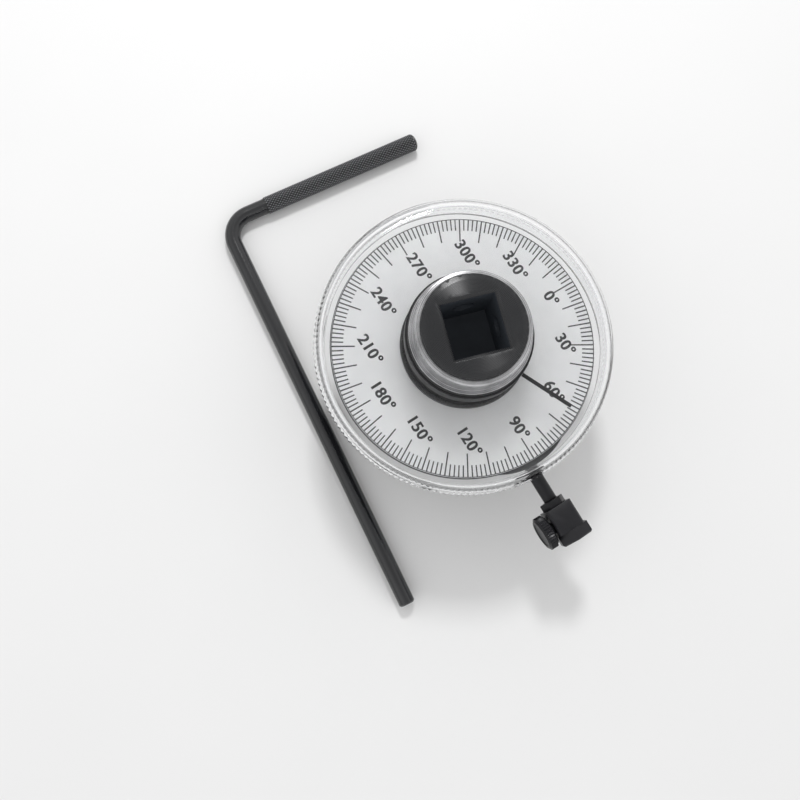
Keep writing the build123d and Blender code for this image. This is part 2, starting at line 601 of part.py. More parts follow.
with BuildPart() as bright_collar:
    with BuildSketch(Plane.XZ):
        with BuildLine():
            Polyline(
                (HUB_RADIUS, LIP_BOTTOM),
                (HUB_RADIUS, SLEEVE_TOP),
                (SLEEVE_RADIUS, SLEEVE_TOP),
                (SLEEVE_RADIUS, LIP_TOP),
                (SLEEVE_LIP_RADIUS, LIP_TOP),
                (SLEEVE_LIP_RADIUS, LIP_BOTTOM),
                close=True,
            )
        make_face()
    revolve(axis=Axis.Z)
    chamfer(circles_of(bright_collar, SLEEVE_RADIUS)[-1], SLEEVE_EDGE)
bright_collar.part.label = "bright_collar"
export_step(bright_collar.part, "parts/bright_collar.step")

# Stop rod: an L bent from round bar, its short leg knurled for the fingers
rod_plane = Plane(
    origin=(ROD_CORNER_X, ROD_CORNER_Y, ROD_HEIGHT),
    x_dir=(cos(radians(ROD_TURN)), sin(radians(ROD_TURN)), 0),
    z_dir=(0, 0, 1),
)
knurl_plane = Plane(
    origin=rod_plane.from_local_coords(Vector(0, ROD_SHORT_LEG - ROD_KNURL_LENGTH, 0)),
    z_dir=rod_plane.y_dir,
)
with BuildPart() as stop_rod:
    with BuildLine(rod_plane) as rod_path:
        FilletPolyline((ROD_LONG_LEG, 0), (0, 0), (0, ROD_SHORT_LEG), radius=ROD_BEND_RADIUS)
    with BuildSketch(Plane(origin=rod_path.line @ 0, z_dir=rod_path.line % 0)):
        Circle(ROD_RADIUS)
    sweep()
    chamfer(edges().filter_by(GeomType.CIRCLE).sort_by(Axis.X)[-1], ROD_END_CHAMFER)
    with BuildSketch(knurl_plane):
        Circle(ROD_KNURL_RADIUS)
    extrude(amount=ROD_KNURL_LENGTH)
    chamfer(edges().group_by(Axis.Y)[-1], ROD_END_CHAMFER)
stop_rod.part.label = "stop_rod"
export_step(stop_rod.part, "parts/stop_rod.step")
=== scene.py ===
"""Torque angle gauge: the visible pieces, their finishes, the camera and the light."""

import json
import logging
import math
from abc import ABC, abstractmethod
from collections.abc import Callable, Iterator
from contextlib import contextmanager
from dataclasses import dataclass, field
from enum import Enum

import bmesh
import bpy
from mathutils import Matrix, Vector

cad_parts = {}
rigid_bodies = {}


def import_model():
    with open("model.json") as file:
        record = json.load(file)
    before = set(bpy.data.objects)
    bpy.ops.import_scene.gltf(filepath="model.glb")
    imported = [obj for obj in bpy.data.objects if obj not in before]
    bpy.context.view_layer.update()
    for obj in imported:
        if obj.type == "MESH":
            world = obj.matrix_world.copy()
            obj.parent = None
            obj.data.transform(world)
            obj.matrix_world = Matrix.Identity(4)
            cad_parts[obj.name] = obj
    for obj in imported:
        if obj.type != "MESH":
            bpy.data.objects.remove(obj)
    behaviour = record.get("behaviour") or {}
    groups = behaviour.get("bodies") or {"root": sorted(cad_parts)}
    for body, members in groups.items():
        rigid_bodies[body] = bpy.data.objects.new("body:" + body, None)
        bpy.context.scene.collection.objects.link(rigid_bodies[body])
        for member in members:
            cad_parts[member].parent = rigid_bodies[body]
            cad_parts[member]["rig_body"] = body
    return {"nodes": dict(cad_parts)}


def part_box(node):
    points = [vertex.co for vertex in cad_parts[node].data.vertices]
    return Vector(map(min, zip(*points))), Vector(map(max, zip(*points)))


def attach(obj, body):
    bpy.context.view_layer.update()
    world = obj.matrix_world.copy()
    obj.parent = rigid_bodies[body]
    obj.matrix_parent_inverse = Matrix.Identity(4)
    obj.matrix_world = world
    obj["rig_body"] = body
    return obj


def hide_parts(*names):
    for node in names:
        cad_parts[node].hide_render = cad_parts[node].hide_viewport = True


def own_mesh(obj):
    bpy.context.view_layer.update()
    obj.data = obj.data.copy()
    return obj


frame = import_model()

MM = 0.001
MERGE_DISTANCE = 0.0005 * MM
FLAT_ANGLE = math.radians(0.2)
SMOOTH_ANGLE = math.radians(32)
BEVEL_ANGLE = math.radians(40)
RIGHT_ANGLE = math.radians(90)
# Most of a noise texture's values lie between these two.
NOISE_RANGE = (0.3, 0.7)
# A wave texture of scale 1 runs through this angle in a metre.
WAVE_RADIANS = 20.0
LOG = logging.getLogger("gauge")

Colour = tuple[float, float, float]
Place = tuple[float, float, float]
Direction = tuple[float, float, float]
Profile = list[tuple[float, float]]
Socket = bpy.types.NodeSocket


class Grain(Enum):
    """The fine surface pattern that a finish shows."""

    MOTTLED = "mottled"
    TURNED = "turned"


class Graph:
    """A material's node tree with the few nodes that the finishes share."""

    def __init__(self, name: str) -> None:
        """Start a material with one Principled shader.

        Args:
            name: The material's name.
        """
        self.material = bpy.data.materials.new(name)
        self.material.use_nodes = True
        self.tree = self.material.node_tree
        self.shader = self.tree.nodes["Principled BSDF"]
        self.place = self.tree.nodes.new("ShaderNodeTexCoord").outputs["Object"]

    def stretch_across_grooves(self, share: float) -> None:
        """Stretch the gloss across the fine grooves that turning about Z leaves.

        Args:
            share: How far it is stretched, from 0 to 1.
        """
        node = self.tree.nodes.new("ShaderNodeTangent")
        node.direction_type = "RADIAL"
        node.axis = "Z"
        self.link(node.outputs["Tangent"], "Tangent")
        self.shader.inputs["Anisotropic"].default_value = share
        self.shader.inputs["Anisotropic Rotation"].default_value = RIGHT_ANGLE / math.tau

    def link(self, source: Socket, entry: str) -> None:
        """Feed one of the shader's sockets."""
        self.tree.links.new(source, self.shader.inputs[entry])

    def noise(self, size: float, detail: float) -> Socket:
        """Add a noise texture.

        Args:
            size: The size of its spots, in metres.
            detail: How many finer layers it has.

        Returns:
            Its value socket.
        """
        node = self.tree.nodes.new("ShaderNodeTexNoise")
        node.inputs["Scale"].default_value = 1 / size
        node.inputs["Detail"].default_value = detail
        self.tree.links.new(self.place, node.inputs["Vector"])
        return node.outputs["Fac"]

    def grain(self, kind: Grain, size: float) -> Socket:
        """Add the fine pattern of a finish.

        Args:
            kind: Which pattern it is.
            size: The distance from one mark to the next, in metres.

        Returns:
            Its value socket.
        """
        if kind is Grain.MOTTLED:
            return self.noise(size, detail=4.0)
        node = self.tree.nodes.new("ShaderNodeTexWave")
        node.wave_type = "RINGS"
        node.rings_direction = "Z"
        node.inputs["Scale"].default_value = math.tau / (WAVE_RADIANS * size)
        node.inputs["Distortion"].default_value = 1.5
        node.inputs["Detail"].default_value = 2.0
        self.tree.links.new(self.place, node.inputs["Vector"])
        return node.outputs["Fac"]

    def ramp(self, value: Socket, low: Colour, high: Colour) -> Socket:
        """Turn a value into a colour between two colours.

        Args:
            value: The value, from 0 to 1.
            low: The colour below the range that most of a noise lies in.
            high: The colour above it.

        Returns:
            The colour's socket.
        """
        node = self.tree.nodes.new("ShaderNodeValToRGB")
        for stop, position, colour in zip(node.color_ramp.elements, NOISE_RANGE, (low, high)):
            stop.position = position
            stop.color = (*colour, 1)
        self.tree.links.new(value, node.inputs["Fac"])
        return node.outputs["Color"]

    def distance_from_leg(self, corner: Place, turn: float) -> Socket:
        """Measure how far a point lies from the axis of a leg that lies on the floor.

        Args:
            corner: A point on the leg's axis.
            turn: The angle about Z by which the leg is turned away from the Y axis.

        Returns:
            The distance's socket.
        """
        lay = self.tree.nodes.new("ShaderNodeMapping")
        lay.vector_type = "TEXTURE"
        lay.inputs["Location"].default_value = corner
        lay.inputs["Rotation"].default_value = (0, 0, turn)
        self.tree.links.new(self.place, lay.inputs["Vector"])
        across = self.tree.nodes.new("ShaderNodeVectorMath")
        across.operation = "MULTIPLY"
        across.inputs[1].default_value = (1, 0, 1)
        self.tree.links.new(lay.outputs["Vector"], across.inputs[0])
        reach = self.tree.nodes.new("ShaderNodeVectorMath")
        reach.operation = "LENGTH"
        self.tree.links.new(across.outputs["Vector"], reach.inputs[0])
        return reach.outputs["Value"]

    def span(self, value: Socket, low: float, high: float, start: float = 0.0, end: float = 1.0) -> Socket:
        """Turn a value between start and end into one between low and high.

        Args:
            value: The value.
            low: The result at start.
            high: The result at end.
            start: The least value.
            end: The greatest value.

        Returns:
            The result's socket.
        """
        node = self.tree.nodes.new("ShaderNodeMapRange")
        node.inputs["From Min"].default_value = start
        node.inputs["From Max"].default_value = end
        node.inputs["To Min"].default_value = low
        node.inputs["To Max"].default_value = high
        self.tree.links.new(value, node.inputs["Value"])
        return node.outputs["Result"]

    def bump(self, value: Socket, strength: float, depth: float) -> Socket:
        """Turn a value into a relief.

        Args:
            value: The height.
            strength: How much of it shows, from 0 to 1.
            depth: The height of the value 1, in metres.

        Returns:
            The bent normal.
        """
        node = self.tree.nodes.new("ShaderNodeBump")
        node.inputs["Strength"].default_value = strength
        node.inputs["Distance"].default_value = depth
        self.tree.links.new(value, node.inputs["Height"])
        return node.outputs["Normal"]


class Surface(ABC):
    """A finish that builds its node material when it is first asked for."""

    name: str

    def material(self) -> bpy.types.Material:
        """Build the node material, or give the one that is already there.

        Returns:
            The material of this finish.
        """
        found = bpy.data.materials.get(self.name)
        if found:
            return found
        graph = Graph(self.name)
        self.paint(graph)
        return graph.material

    @abstractmethod
    def paint(self, graph: Graph) -> None:
        """Set the shader's sockets.

        Args:
            graph: The material's node tree.
        """


@dataclass(frozen=True)
class Finish(Surface):
    """An opaque surface: its colour, its gloss and the fine pattern in both."""

    name: str
    slot: str
    colour: Colour
    colour_spread: float = 0.15
    cloud_share: float = 14
    metallic: float = 0.0
    roughness: float = 0.4
    roughness_spread: float = 0.08
    least_roughness: float = 0.02
    grain: Grain = Grain.MOTTLED
    grain_size: float = 0.4 * MM
    relief: float = 0.08
    relief_depth: float = 0.02 * MM
    specular: float = 0.5
    stretch: float = 0.0

    def paint(self, graph: Graph) -> None:
        """Put clouds in the colour, and the grain in the gloss and the relief.

        Args:
            graph: The material's node tree.
        """
        pattern = graph.grain(self.grain, self.grain_size)
        cloud = graph.noise(self.grain_size * self.cloud_share, detail=3.0)
        low = tuple(channel * (1 - self.colour_spread) for channel in self.colour)
        high = tuple(min(1.0, channel * (1 + self.colour_spread)) for channel in self.colour)
        graph.shader.inputs["Metallic"].default_value = self.metallic
        graph.shader.inputs["Specular IOR Level"].default_value = self.specular
        if self.stretch:
            graph.stretch_across_grooves(self.stretch)
        graph.link(graph.ramp(cloud, low, high), "Base Color")
        least = max(self.least_roughness, self.roughness - self.roughness_spread)
        graph.link(graph.span(pattern, least, self.roughness + self.roughness_spread), "Roughness")
        graph.link(graph.bump(pattern, self.relief, self.relief_depth), "Normal")


@dataclass(frozen=True)
class ClearPlastic(Surface):
    """Polished see-through plastic with the faint waviness of a moulding."""

    name: str = "clear_acrylic"
    slot: str = "clear_plastic"
    colour: Colour = (0.985, 0.99, 0.995)
    colour_spread: float = 0.015
    index: float = 1.42
    roughness: float = 0.03
    roughness_spread: float = 0.015
    haze_size: float = 0.5 * MM
    wave_size: float = 6 * MM
    relief: float = 0.05
    relief_depth: float = 0.05 * MM

    def paint(self, graph: Graph) -> None:
        """Let the light through, with waves in the relief and haze in the gloss.

        Args:
            graph: The material's node tree.
        """
        graph.shader.inputs["Transmission Weight"].default_value = 1.0
        graph.shader.inputs["IOR"].default_value = self.index
        wave = graph.noise(self.wave_size, detail=1.0)
        haze = graph.noise(self.haze_size, detail=2.0)
        low = tuple(channel * (1 - self.colour_spread) for channel in self.colour)
        graph.link(graph.ramp(wave, low, self.colour), "Base Color")
        least, most = self.roughness - self.roughness_spread, self.roughness + self.roughness_spread
        graph.link(graph.span(haze, least, most), "Roughness")
        graph.link(graph.bump(wave, self.relief, self.relief_depth), "Normal")


@dataclass(frozen=True)
class KnurlWithPaintedLight(Surface):
    """Black steel with a painted highlight on the points of a knurl and painted shade in its grooves."""

    corner: Place
    turn: float
    groove_radius: float
    point_radius: float
    name: str = "black_knurl_painted_highlight_and_shade"
    # Painted shade in the knurl's grooves, and a painted highlight on its points.
    groove_shade: Colour = (0.008, 0.008, 0.009)
    point: Colour = (0.2, 0.205, 0.215)
    roughness: float = 0.3
    roughness_spread: float = 0.08
    grain_size: float = 0.3 * MM

    def paint(self, graph: Graph) -> None:
        """Make the colour lighter the further a point lies from the leg's axis: painted highlight on the
        points, painted shade in the grooves.

        Args:
            graph: The material's node tree.
        """
        reach = graph.distance_from_leg(self.corner, self.turn)
        painted_highlight_and_shade = graph.span(reach, 0.0, 1.0, self.groove_radius, self.point_radius)
        graph.link(graph.ramp(painted_highlight_and_shade, self.groove_shade, self.point), "Base Color")
        least, most = self.roughness - self.roughness_spread, self.roughness + self.roughness_spread
        graph.link(graph.span(graph.noise(self.grain_size, detail=2.0), least, most), "Roughness")


@dataclass(frozen=True)
class FloorPaint(Surface):
    """Plain matt paint with very faint clouds in its colour."""

    name: str = "pale_floor"
    colour: Colour = (0.74, 0.74, 0.74)
    colour_spread: float = 0.01
    cloud_size: float = 40 * MM
    roughness: float = 0.6

    def paint(self, graph: Graph) -> None:
        """Put the clouds in the colour.

        Args:
            graph: The material's node tree.
        """
        low = tuple(channel * (1 - self.colour_spread) for channel in self.colour)
        graph.link(graph.ramp(graph.noise(self.cloud_size, detail=2.0), low, self.colour), "Base Color")
        graph.shader.inputs["Roughness"].default_value = self.roughness


HUB_STEEL = Finish(
    "oiled_black_steel_turned", "black_steel", (0.011, 0.0115, 0.013), metallic=0.1, roughness=0.3,
    grain=Grain.TURNED, grain_size=0.3 * MM, relief=0.03, stretch=0.9,
)
# Painted shade: a dull dark blue-grey for the socket's walls and floor, standing in for the shade deep in the
# socket.
SOCKET_PAINTED_SHADE = Finish(
    "black_steel_painted_socket_shade", "black_steel", (0.045, 0.052, 0.062), roughness=0.6, specular=0.2,
)
BLACK_STEEL = Finish(
    "oiled_black_steel", "black_steel", (0.011, 0.011, 0.013), metallic=0.1, roughness=0.33, relief=0.15,
    specular=0.3,
)
ROD_STEEL = Finish(
    "oiled_black_rod", "black_steel", (0.012, 0.0125, 0.014), roughness=0.17, relief=0.06, specular=0.6,
)
# Its wide colour spread paints light and dark patches into the collar's colour: painted reflection streaks.
BRIGHT_STEEL = Finish(
    "bright_turned_steel", "bright_steel", (0.43, 0.43, 0.44), colour_spread=0.3, metallic=1.0,
    roughness=0.22, grain=Grain.TURNED, relief=0.1, stretch=0.75,
)
DIAL_SILVER = Finish(
    "satin_dial_silver", "printed_aluminium", (0.93, 0.93, 0.93), colour_spread=0.015, metallic=0.05,
    roughness=0.42, grain_size=0.15 * MM, relief=0.05,
)
PRINT_BLACK = Finish(
    "black_printing_ink", "black_print", (0.012, 0.012, 0.013), roughness=0.5, grain_size=0.1 * MM,
)
POINTER_BLACK = Finish(
    "black_paint_filling", "black_print", (0.024, 0.024, 0.025), roughness=0.35, grain_size=0.2 * MM,
)
BOSS_PLASTIC = Finish(
    "moulded_black_plastic", "black_plastic", (0.011, 0.011, 0.012), roughness=0.33, grain_size=0.5 * MM,
    specular=0.25,
)
RUBBER = Finish("moulded_rubber", "rubber", (0.015, 0.015, 0.015), roughness=0.7, grain_size=0.3 * MM)
WASHER_PLASTIC = Finish("black_washer_plastic", "washer_plastic", (0.03, 0.03, 0.031), roughness=0.45)
BRONZE = Finish(
    "sintered_bronze", "bronze", (0.50, 0.33, 0.17), metallic=0.9, roughness=0.4, grain_size=0.25 * MM,
    relief=0.3,
)
BRASS = Finish(
    "turned_brass", "brass", (0.74, 0.55, 0.25), colour_spread=0.05, metallic=1.0, roughness=0.25,
)
SPRING_STEEL = Finish(
    "phosphated_spring_steel", "spring_steel", (0.16, 0.16, 0.17), metallic=0.8, roughness=0.35,
)
BALL_STEEL = Finish(
    "polished_ball_steel", "bright_steel", (0.80, 0.80, 0.80), colour_spread=0.02, metallic=1.0,
    roughness=0.1, roughness_spread=0.04, relief=0.03,
)
SCREW_STEEL = Finish(
    "zinc_plated_steel", "bright_steel", (0.66, 0.67, 0.68), colour_spread=0.05, metallic=1.0,
    roughness=0.28,
)
CLEAR = ClearPlastic()
FLOOR_PAINT = FloorPaint()


def deselect() -> None:
    """Leave edit mode and deselect every object."""
    if bpy.context.mode != "OBJECT":
        bpy.ops.object.mode_set(mode="OBJECT")
    bpy.ops.object.select_all(action="DESELECT")


def pick(piece: bpy.types.Object) -> None:
    """Make one object the selected and active one.

    Args:
        piece: The object.
    """
    deselect()
    piece.select_set(True)
    bpy.context.view_layer.objects.active = piece


@contextmanager
def editing(piece: bpy.types.Object) -> Iterator[None]:
    """Edit one object's mesh inside a with block, with its points to be selected.

    Args:
        piece: The object.

    Yields:
        Nothing, while the object is in edit mode.
    """
    pick(piece)
    bpy.ops.object.mode_set(mode="EDIT")
    bpy.ops.mesh.select_mode(type="VERT")
    yield
    bpy.ops.object.mode_set(mode="OBJECT")


def select_points(piece: bpy.types.Object, wanted: Callable[[Vector], bool]) -> None:
    """Select the points of a mesh in edit mode by their place.

    Args:
        piece: The object in edit mode.
        wanted: Says of a point's place whether it is selected.
    """
    mesh = bmesh.from_edit_mesh(piece.data)
    for point in mesh.verts:
        point.select_set(wanted(point.co))
    mesh.select_flush_mode()
    bmesh.update_edit_mesh(piece.data)


def arc(centre: tuple[float, float], radius: float, start: float, end: float, steps: int) -> Profile:
    """Give the points of an arc in a profile.

    Args:
        centre: The arc's centre, as radius and height.
        radius: The arc's radius.
        start: The angle of its first point, in degrees, from the outward direction.
        end: The angle of its last point.
        steps: How many stretches it has.

    Returns:
        The points, first and last included.
    """
    angles = (math.radians(start + (end - start) * step / steps) for step in range(steps + 1))
    return [(centre[0] + radius * math.cos(a), centre[1] + radius * math.sin(a)) for a in angles]


def lathe(name: str, profile: Profile, segments: int, solid: bool = False) -> bpy.types.Object:
    """Turn a profile about the Z axis: a circle is extruded from point to point.

    Args:
        name: The new object's name.
        profile: Its points, as radius and height. The last repeats the first where it is closed.
        segments: How many points the circle has.
        solid: Whether the first and the last circle are filled.

    Returns:
        The turned object.
    """
    deselect()
    radius, height = profile[0]
    fill = "NGON" if solid else "NOTHING"
    bpy.ops.mesh.primitive_circle_add(
        vertices=segments, radius=radius, fill_type=fill, location=(0, 0, height),
    )
    piece = bpy.context.object
    piece.name = name
    bpy.ops.object.transform_apply(location=True, rotation=True, scale=True)
    with editing(piece):
        bpy.ops.mesh.select_all(action="SELECT")
        for next_radius, next_height in profile[1:]:
            bpy.ops.mesh.extrude_region_move(TRANSFORM_OT_translate={"value": (0, 0, next_height - height)})
            share = next_radius / radius
            bpy.ops.transform.resize(value=(share, share, 1), center_override=(0, 0, next_height))
            radius, height = next_radius, next_height
        bpy.ops.mesh.select_all(action="SELECT")
        bpy.ops.mesh.remove_doubles(threshold=MERGE_DISTANCE)
        bpy.ops.mesh.normals_make_consistent(inside=False)
    return piece


def raise_every_other(
    piece: bpy.types.Object, segments: int, inside: Callable[[float, float], bool], share: float
) -> None:
    """Pull every other point of a turned piece outwards, which makes a knurl.

    Args:
        piece: The turned object.
        segments: How many points its circles have.
        inside: Says of a radius and a height whether the knurl is there.
        share: How far the points go, as a share of their radius.
    """

    def wanted(place: Vector) -> bool:
        """Say of a point's place whether it is pulled."""
        step = round(math.atan2(place.y, place.x) / math.tau * segments)
        return step % 2 == 0 and inside(math.hypot(place.x, place.y), place.z)

    with editing(piece):
        select_points(piece, wanted)
        bpy.ops.transform.resize(value=(1 + share, 1 + share, 1), center_override=(0, 0, 0))


def smooth(piece: bpy.types.Object) -> None:
    """Shade a piece smooth apart from its sharp edges."""
    pick(piece)
    bpy.ops.object.shade_smooth_by_angle(angle=SMOOTH_ANGLE)


def soften(piece: bpy.types.Object, width: float, segments: int = 2) -> None:
    """Round a piece's sharp edges a little, as a real tool's are.

    Args:
        piece: The piece.
        width: The width of the rounding, in metres.
        segments: How many stretches it has.
    """
    pick(piece)
    bevel = piece.modifiers.new("edges", "BEVEL")
    bevel.width = width
    bevel.segments = segments
    bevel.limit_method = "ANGLE"
    bevel.angle_limit = BEVEL_ANGLE
    bpy.ops.object.modifier_apply(modifier=bevel.name)


def settle(piece: bpy.types.Object, place: Matrix) -> None:
    """Turn and move a piece into its place, which then lies in its mesh.

    Args:
        piece: The piece.
        place: The turn and the move.
    """
    pick(piece)
    piece.matrix_world = place
    bpy.ops.object.transform_apply(location=True, rotation=True, scale=True)


def dress(piece: bpy.types.Object, finish: Finish | ClearPlastic) -> None:
    """Give a piece its finish and nothing else."""
    piece.data.materials.clear()
    piece.data.materials.append(finish.material())


def stand_for(piece: bpy.types.Object, body: str, finish: Finish | ClearPlastic, *nodes: str) -> None:
    """Finish a new piece: its material, its body and the nodes that it stands for.

    Args:
        piece: The new piece.
        body: The body that it moves with.
        finish: Its finish.
        nodes: The CAD nodes that it replaces.
    """
    dress(piece, finish)
    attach(piece, body)
    if nodes:
        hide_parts(*nodes)
    LOG.info("%s: %d faces, on %s", piece.name, len(piece.data.polygons), body)


def refinish(piece: bpy.types.Object, finish: Surface, wanted: Callable[[Vector], bool]) -> None:
    """Give some of a finished piece's faces another finish.

    Args:
        piece: The piece.
        finish: The other finish.
        wanted: Says of a face's middle whether the face gets it.
    """
    piece.data.materials.append(finish.material())
    with editing(piece):
        bpy.ops.mesh.select_mode(type="FACE")
        mesh = bmesh.from_edit_mesh(piece.data)
        for face in mesh.faces:
            face.select_set(wanted(face.calc_center_median()))
        bmesh.update_edit_mesh(piece.data)
        piece.active_material_index = len(piece.data.materials) - 1
        bpy.ops.object.material_slot_assign()


def eased_copy(node: str, edge: float, finish: Finish) -> bpy.types.Object:
    """Make a smooth copy of a CAD node with softened edges.

    Args:
        node: The node's name.
        edge: The width of its softened edges, in metres.
        finish: Its finish.

    Returns:
        The copy, which stands for the node.
    """
    source = frame["nodes"][node]
    piece = bpy.data.objects.new(node + "_eased", source.data.copy())
    bpy.context.scene.collection.objects.link(piece)
    with editing(piece):
        bpy.ops.mesh.select_all(action="SELECT")
        bpy.ops.mesh.remove_doubles(threshold=MERGE_DISTANCE)
        bpy.ops.mesh.dissolve_limited(angle_limit=FLAT_ANGLE)
    if edge:
        soften(piece, edge)
    smooth(piece)
    stand_for(piece, source["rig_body"], finish, node)
    return piece


@dataclass
class Dial:
    """The dial plate and the black print on it."""

    segments: int = 192
    top: float = field(default_factory=lambda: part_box("dial_plate")[1].z)
    thickness: float = field(default_factory=lambda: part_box("dial_plate")[1].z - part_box("dial_plate")[0].z)
    radius: float = field(default_factory=lambda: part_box("dial_plate")[1].x)
    bore: float = 14.6 * MM
    edge: float = 0.08 * MM
    ink: float = 0.02 * MM
    tick_end_gap: float = 0.1 * MM
    outline_width: float = 0.2 * MM
    long_tick: float = 5.7 * MM
    short_tick: float = 2.9 * MM
    long_width: float = 0.32 * MM
    short_width: float = 0.30 * MM
    degrees_per_tick: int = 2
    degrees_per_long_tick: int = 10
    degrees_per_number: int = 30
    number_size: float = 3.85 * MM
    number_weight: float = 0.07 * MM
    number_strike: float = 0.13 * MM
    strike_drop: float = 0.002 * MM
    number_spacing: float = 1.08
    number_turn: float = math.radians(2)
    number_middle: tuple[float, float] = (0.82 * MM, 0.98 * MM)
    number_reach: tuple[float, float] = (22.9 * MM, 23.9 * MM)

    def build(self) -> None:
        """Make the plate and its print."""
        self.plate()
        self.markings()

    def plate(self) -> None:
        """Make the satin silver disc."""
        low, high, edge = self.top - self.thickness, self.top, self.edge
        profile = [
            (self.bore, low), (self.radius, low), (self.radius, high - edge), (self.radius - edge, high),
            (self.bore + edge, high), (self.bore, high - edge), (self.bore, low),
        ]
        disc = lathe("silver_dial", profile, self.segments)
        smooth(disc)
        stand_for(disc, "dial", DIAL_SILVER, "dial_plate")

    def markings(self) -> None:
        """Make the ticks and the numbers, and join them into one thin layer of ink."""
        marks = [self.tick(angle) for angle in range(0, 360, self.degrees_per_tick)]
        marks += [self.number(angle) for angle in range(0, 360, self.degrees_per_number)]
        marks.append(self.outline())
        deselect()
        for mark in marks:
            mark.select_set(True)
        bpy.context.view_layer.objects.active = marks[0]
        bpy.ops.object.join()
        ink = bpy.context.object
        ink.name = "dial_print"
        stand_for(ink, "dial", PRINT_BLACK)

    def tick(self, angle: int) -> bpy.types.Object:
        """Make the tick at one angle, counted clockwise from the 0 mark.

        Args:
            angle: The angle in degrees.

        Returns:
            The tick, in its place.
        """
        is_long = angle % self.degrees_per_long_tick == 0
        length = self.long_tick if is_long else self.short_tick
        width = self.long_width if is_long else self.short_width
        deselect()
        bpy.ops.mesh.primitive_plane_add(size=1)
        mark = bpy.context.object
        with editing(mark):
            bpy.ops.mesh.select_all(action="SELECT")
            bpy.ops.transform.resize(value=(width, length, 1))
            bpy.ops.mesh.extrude_region_move(TRANSFORM_OT_translate={"value": (0, 0, self.ink)})
            bpy.ops.mesh.select_all(action="SELECT")
            bpy.ops.mesh.normals_make_consistent(inside=False)
        reach = self.radius - self.tick_end_gap - length / 2
        lift = Matrix.Translation((0, reach, self.top))
        settle(mark, Matrix.Rotation(math.radians(-angle), 4, "Z") @ lift)
        return mark

    def outline(self) -> bpy.types.Object:
        """Make the thin black line round the dial, where the ticks start.

        Returns:
            The line, in its place.
        """
        inner, outer = self.radius - self.edge - self.outline_width, self.radius - self.edge
        low, high = self.top, self.top + self.ink
        profile = [(inner, low), (outer, low), (outer, high), (inner, high), (inner, low)]
        return lathe("dial_outline", profile, self.segments)

    def number(self, angle: int) -> bpy.types.Object:
        """Make the number at one angle. All numbers stand the same way up.

        Args:
            angle: The angle in degrees.

        Returns:
            The number, in its place.
        """
        deselect()
        bpy.ops.object.text_add()
        mark = bpy.context.object
        mark.data.body = f"{angle}°"
        mark.data.size = self.number_size
        mark.data.offset = self.number_weight
        mark.data.extrude = self.ink / 2
        mark.data.space_character = self.number_spacing
        bpy.ops.object.convert(target="MESH")
        strike = (self.number_strike, 0, -self.strike_drop)
        with editing(mark):
            bpy.ops.mesh.select_all(action="SELECT")
            bpy.ops.mesh.duplicate_move(TRANSFORM_OT_translate={"value": strike})
        bpy.ops.object.origin_set(type="ORIGIN_GEOMETRY", center="BOUNDS")
        turn = math.radians(angle)
        across = self.number_middle[0] + self.number_reach[0] * math.sin(turn)
        along = self.number_middle[1] + self.number_reach[1] * math.cos(turn)
        place = Matrix.Translation((across, along, self.top + self.ink / 2))
        settle(mark, place @ Matrix.Rotation(self.number_turn, 4, "Z"))
        return mark


